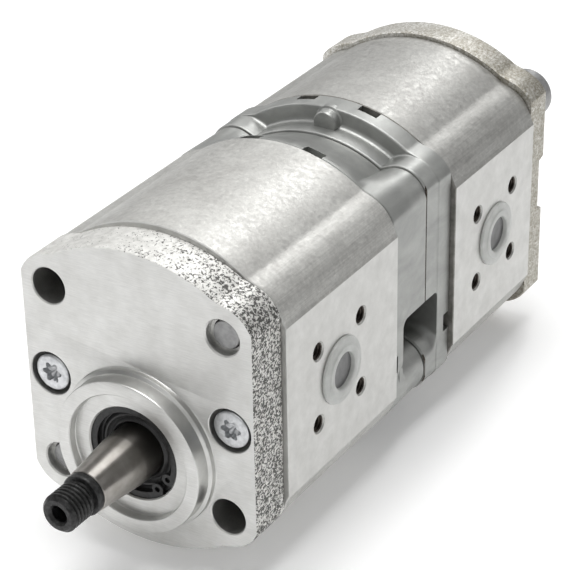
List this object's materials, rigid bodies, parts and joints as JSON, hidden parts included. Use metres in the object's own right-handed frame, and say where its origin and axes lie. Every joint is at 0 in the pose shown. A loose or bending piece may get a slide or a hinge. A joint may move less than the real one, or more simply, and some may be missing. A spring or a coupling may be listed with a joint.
{
  "type": "tandem hydraulic gear pump",
  "caption": "Tandem external gear pump: tapered threaded drive shaft, piloted two-bolt front cover, two gear housings with side ports, open coupling section and rear cover.",
  "frame": {"origin": "where the drive shaft's axis crosses the mounting face of the front cover", "axes": "-Y out of the mounting face along the shaft nose, +Y back along the two stages, +Z from the drive shaft up to the idler gears, +X towards the pressure port faces"},
  "size_m": [0.0868, 0.2332, 0.1038],
  "materials": {
    "machined_aluminium": "fine-milled satin face on a cast plate",
    "sand_cast_aluminium": "rough cast skin with dark speckle",
    "extruded_aluminium": "mottled extruded skin, milled port faces",
    "die_cast_aluminium": "smooth die-cast, bright edges",
    "bearing_alloy": "machined",
    "ground_steel": "ground and polished",
    "zinc_steel": "clear zinc plate",
    "bolt_steel": "dull plated steel",
    "black_steel": "black oxide",
    "bronze_bush": "plain bearing liner",
    "black_rubber": "matt",
    "plug_plastic": "natural moulded polyethylene"
  },
  "bodies": {
    "pump_body": {"front_cover": "machined_aluminium", "stage_1_housing": "extruded_aluminium", "stage_1_front_seal": "black_rubber", "stage_1_rear_seal": "black_rubber", "stage_2_housing": "extruded_aluminium", "stage_2_front_seal": "black_rubber", "stage_2_rear_seal": "black_rubber", "coupling_cover_front": "die_cast_aluminium", "coupling_cover_rear": "die_cast_aluminium", "rear_cover": "sand_cast_aluminium", "stage_1_front_bearing_block": "bearing_alloy", "stage_1_front_drive_bush": "bronze_bush", "stage_1_front_idler_bush": "bronze_bush", "stage_1_front_pressure_seal": "black_rubber", "stage_1_rear_bearing_block": "bearing_alloy", "stage_1_rear_drive_bush": "bronze_bush", "stage_1_rear_idler_bush": "bronze_bush", "stage_1_rear_pressure_seal": "black_rubber", "stage_2_front_bearing_block": "bearing_alloy", "stage_2_front_drive_bush": "bronze_bush", "stage_2_front_idler_bush": "bronze_bush", "stage_2_front_pressure_seal": "black_rubber", "stage_2_rear_bearing_block": "bearing_alloy", "stage_2_rear_drive_bush": "bronze_bush", "stage_2_rear_idler_bush": "bronze_bush", "stage_2_rear_pressure_seal": "black_rubber", "shaft_seal": "black_rubber", "coupling_seal_front": "black_rubber", "coupling_seal_rear": "black_rubber", "seal_retaining_ring": "black_steel", "tie_bolt_upper": "bolt_steel", "tie_bolt_lower": "bolt_steel", "front_screw_left": "zinc_steel", "rear_screw_left": "zinc_steel", "front_screw_right": "zinc_steel", "rear_screw_right": "zinc_steel", "stage_1_pressure_plug": "plug_plastic", "stage_1_suction_plug": "plug_plastic", "stage_2_pressure_plug": "plug_plastic", "stage_2_suction_plug": "plug_plastic"},
    "drive_line": {"drive_shaft_gear": "ground_steel", "shaft_key": "ground_steel", "claw_coupling": "ground_steel", "stage_2_drive_gear": "ground_steel"},
    "stage_1_idler": {"stage_1_idler_gear": "ground_steel"},
    "stage_2_idler": {"stage_2_idler_gear": "ground_steel"}
  },
  "joints": [
    {"name": "drive_spin", "type": "hinge", "parent": "pump_body", "child": "drive_line", "pos_m": [0, 0, 0], "axis": [0, 1, 0], "continuous": true},
    {"name": "stage_1_idler_spin", "type": "hinge", "parent": "pump_body", "child": "stage_1_idler", "pos_m": [0, 0, 0.0312], "axis": [0, 1, 0], "continuous": true},
    {"name": "stage_2_idler_spin", "type": "hinge", "parent": "pump_body", "child": "stage_2_idler", "pos_m": [0, 0, 0.0312], "axis": [0, 1, 0], "continuous": true}
  ],
  "couplings": [
    {"joint": "stage_1_idler_spin", "follows": "drive_spin", "ratio": -1},
    {"joint": "stage_2_idler_spin", "follows": "drive_spin", "ratio": -1}
  ]
}
